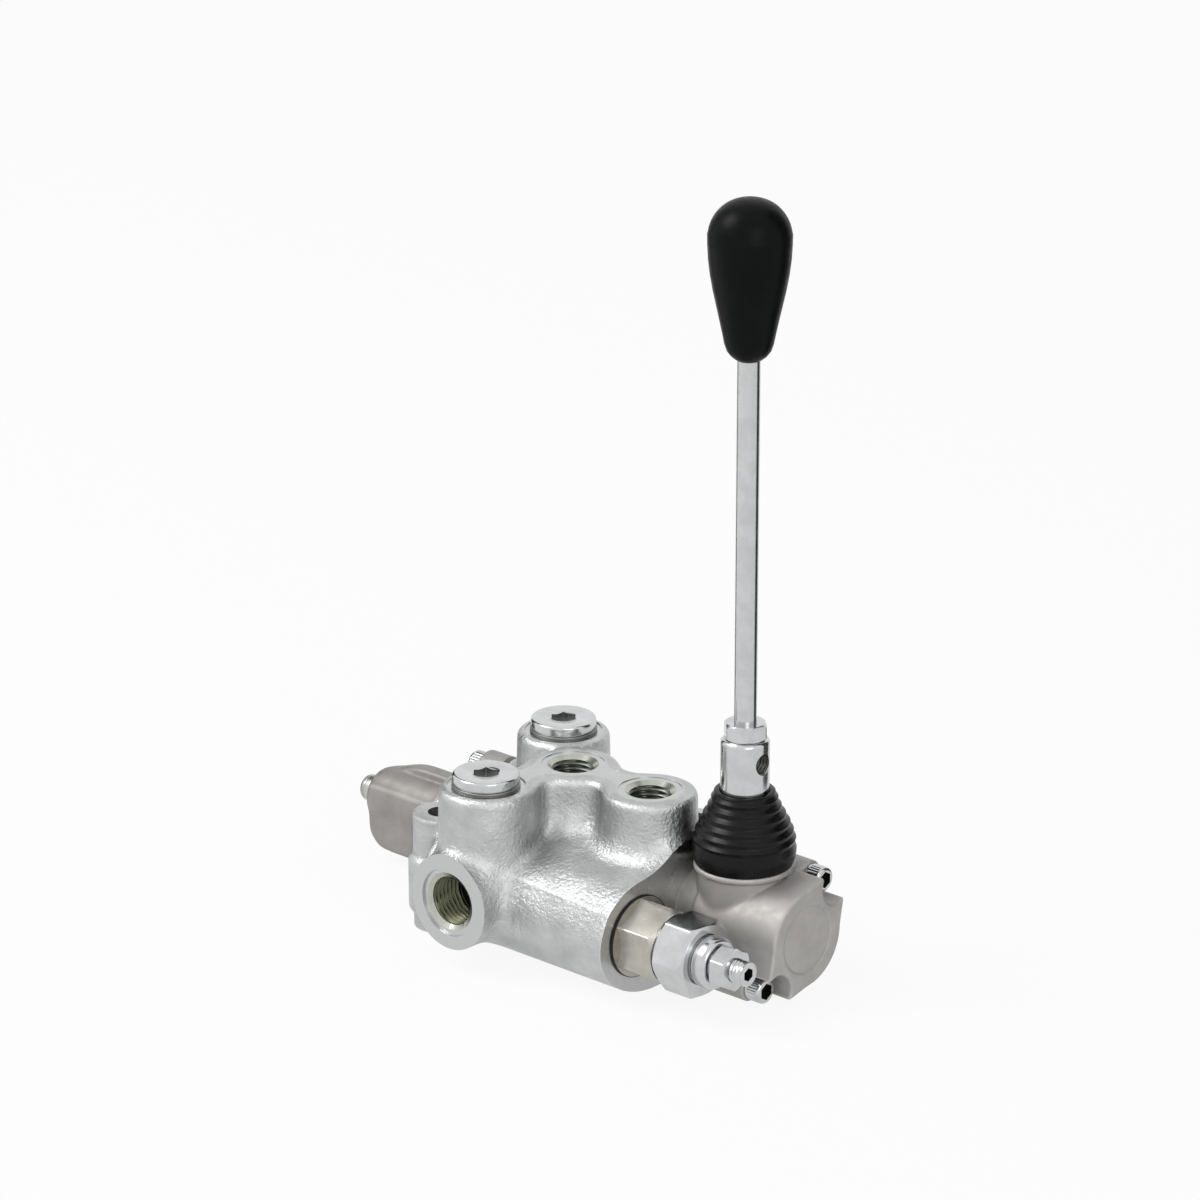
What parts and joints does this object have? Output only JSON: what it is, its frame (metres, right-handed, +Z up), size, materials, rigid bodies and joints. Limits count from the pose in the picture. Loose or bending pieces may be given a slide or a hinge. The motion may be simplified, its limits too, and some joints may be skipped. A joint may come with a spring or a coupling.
{
  "type": "hydraulic directional control valve",
  "caption": "Manual spool directional control valve: plated casting with threaded ports, relief valve, spring cap and a lever with rubber boot and knob.",
  "frame": {"origin": "on the mounting plane, directly under the axis of work port A", "axes": "+X along the spool towards the lever box, +Y to the tank port side, +Z up through the work ports"},
  "size_m": [0.2056, 0.0907, 0.2635],
  "materials": {
    "cast_plated": "rough zinc-plated casting with machined faces",
    "plated": "bright zinc plating",
    "plated_warm": "zinc plating, slightly beige",
    "washer_steel": "satin",
    "steel": "ground",
    "spring_steel": "dark drawn wire",
    "die_cast": "matte sand-blasted die casting",
    "seal_rubber": "satin",
    "boot_rubber": "satin",
    "cup_plastic": "smooth",
    "knob_plastic": "fine matte"
  },
  "bodies": {
    "housing": {"valve_body": "cast_plated", "inlet_plug": "plated", "tank_plug": "plated", "plug_washers": "washer_steel", "check_seat": "steel", "check_spring": "spring_steel", "spool_seals": "seal_rubber", "rear_cap": "die_cast", "rear_cap_screws": "plated", "rear_cap_plug": "plated", "lever_box": "die_cast", "lever_box_screws": "plated", "lever_cup": "cup_plastic", "lever_boot": "boot_rubber", "relief_body": "plated_warm", "relief_seal": "seal_rubber", "relief_seat": "steel", "relief_spring": "spring_steel", "relief_cap": "plated", "relief_locknut": "plated"},
    "spool": {"spool": "steel", "spool_bolt": "steel", "spring_seat_front": "steel", "spring_seat_rear": "steel", "centring_spring": "spring_steel"},
    "lever": {"lever_ball": "steel", "lever_socket": "plated", "lever_nut": "plated", "lever_rod": "plated", "lever_knob": "knob_plastic"},
    "check_valve": {"check_poppet": "steel"},
    "relief_valve": {"relief_poppet": "steel"},
    "relief_adjuster": {"relief_pusher": "steel"},
    "relief_adjusting_screw": {"relief_screw": "plated"}
  },
  "joints": [
    {"name": "lever_tilt", "type": "hinge", "parent": "housing", "child": "lever", "pos_m": [0.0667, 0.009, 0.036], "axis": [0, 1, 0], "range_deg": [-20, 20], "stiffness_Nm_per_rad": 22, "deforming": ["lever_boot"]},
    {"name": "spool_slide", "type": "slide", "parent": "housing", "child": "spool", "axis": [1, 0, 0], "range_m": [-0.00524, 0.00524]},
    {"name": "check_lift", "type": "slide", "parent": "housing", "child": "check_valve", "axis": [0, 0, 1], "range_m": [0, 0.003], "stiffness_N_per_m": 400, "springref_m": -0.004, "deforming": ["check_spring"]},
    {"name": "relief_lift", "type": "slide", "parent": "housing", "child": "relief_valve", "axis": [1, 0, 0], "range_m": [0, 0.0015], "stiffness_N_per_m": 20000, "springref_m": -0.004, "deforming": ["relief_spring"]},
    {"name": "relief_pusher_slide", "type": "slide", "parent": "housing", "child": "relief_adjuster", "axis": [1, 0, 0], "range_m": [-0.00187, 0.00187]},
    {"name": "relief_screw_turn", "type": "hinge", "parent": "relief_adjuster", "child": "relief_adjusting_screw", "pos_m": [0.09, -0.024, 0.0205], "axis": [1, 0, 0], "range_deg": [-540, 540]}
  ],
  "couplings": [
    {"joint": "spool_slide", "follows": "lever_tilt", "m_per_rad": -0.015},
    {"joint": "relief_screw_turn", "follows": "relief_pusher_slide", "rad_per_m": 5026.5}
  ]
}
